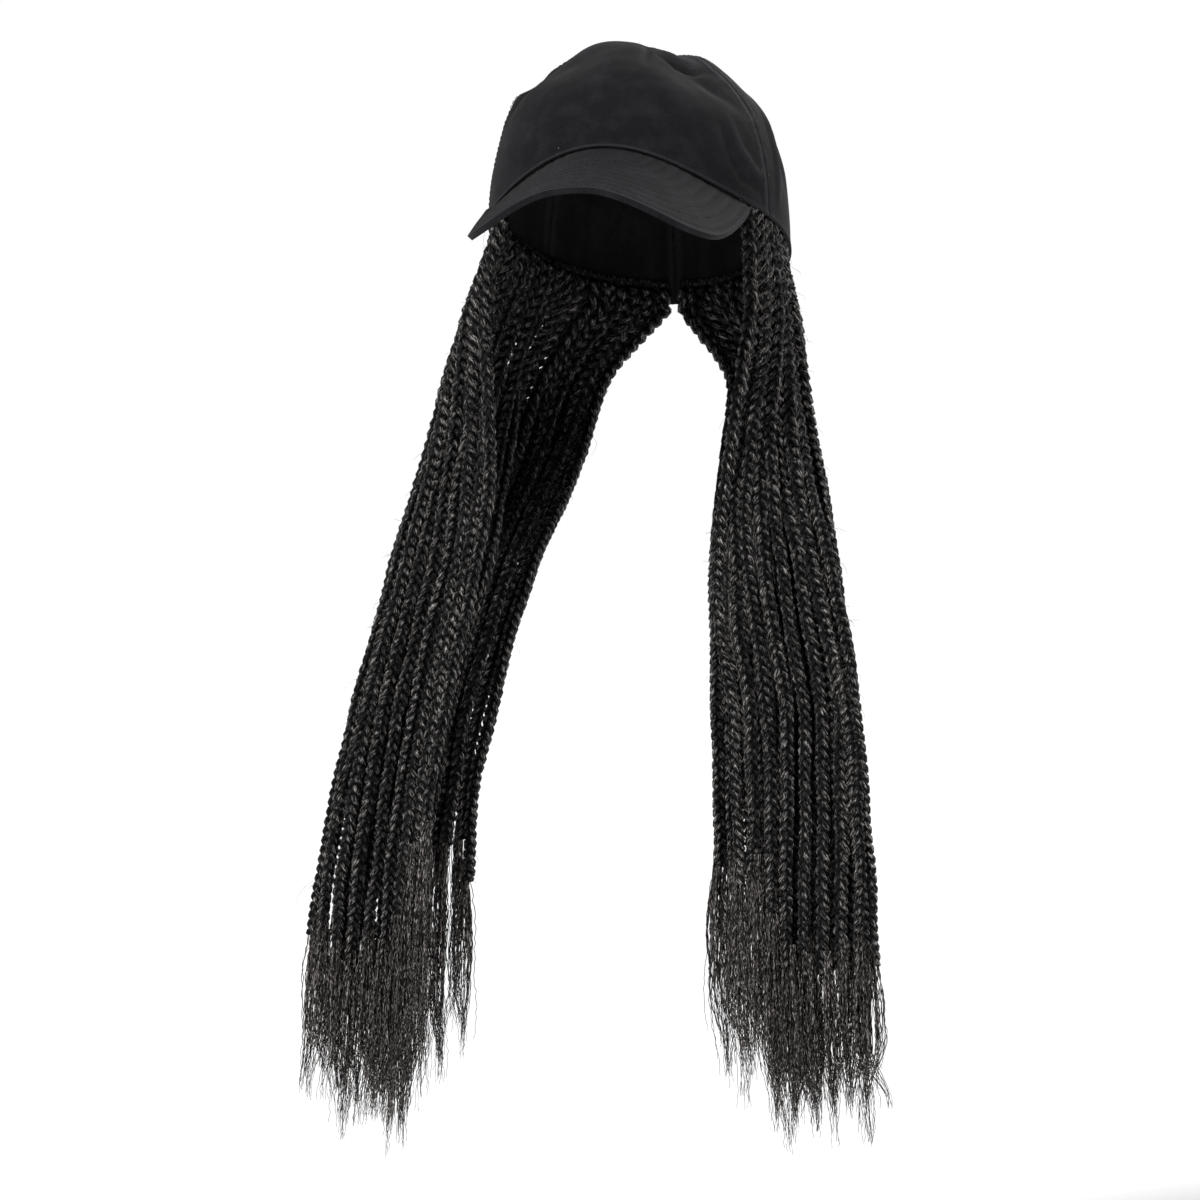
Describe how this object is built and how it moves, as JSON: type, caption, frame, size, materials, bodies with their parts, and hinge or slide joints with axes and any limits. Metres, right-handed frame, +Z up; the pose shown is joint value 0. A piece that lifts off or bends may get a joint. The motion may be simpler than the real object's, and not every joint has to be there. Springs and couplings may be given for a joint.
{
  "type": "baseball cap with attached box braid wig",
  "caption": "Soft black baseball cap with a curved peak and long box braids sewn inside its rim, parted at the back and laid forward over both shoulders.",
  "frame": {"origin": "middle of the head opening, where the cap sits round a head", "axes": "+Z up, the peak points along -Y, +X is the wearer's left"},
  "size_m": [0.3317, 0.266, 0.6399],
  "materials": {
    "crown_twill": "washed black cotton twill, matte",
    "peak_twill": "black cotton twill over a curved board, stitched in rows",
    "synthetic_hair": "braided black synthetic fibre with a soft sheen, loose at the ends"
  },
  "bodies": {
    "root": {"front_panel": "crown_twill", "left_side_panel": "crown_twill", "right_side_panel": "crown_twill", "left_back_panel": "crown_twill", "right_back_panel": "crown_twill", "top_button": "crown_twill", "peak": "peak_twill", "left_temple_braids": "synthetic_hair", "left_side_braids": "synthetic_hair", "left_nape_braids": "synthetic_hair", "right_temple_braids": "synthetic_hair", "right_side_braids": "synthetic_hair", "right_nape_braids": "synthetic_hair"}
  },
  "joints": []
}
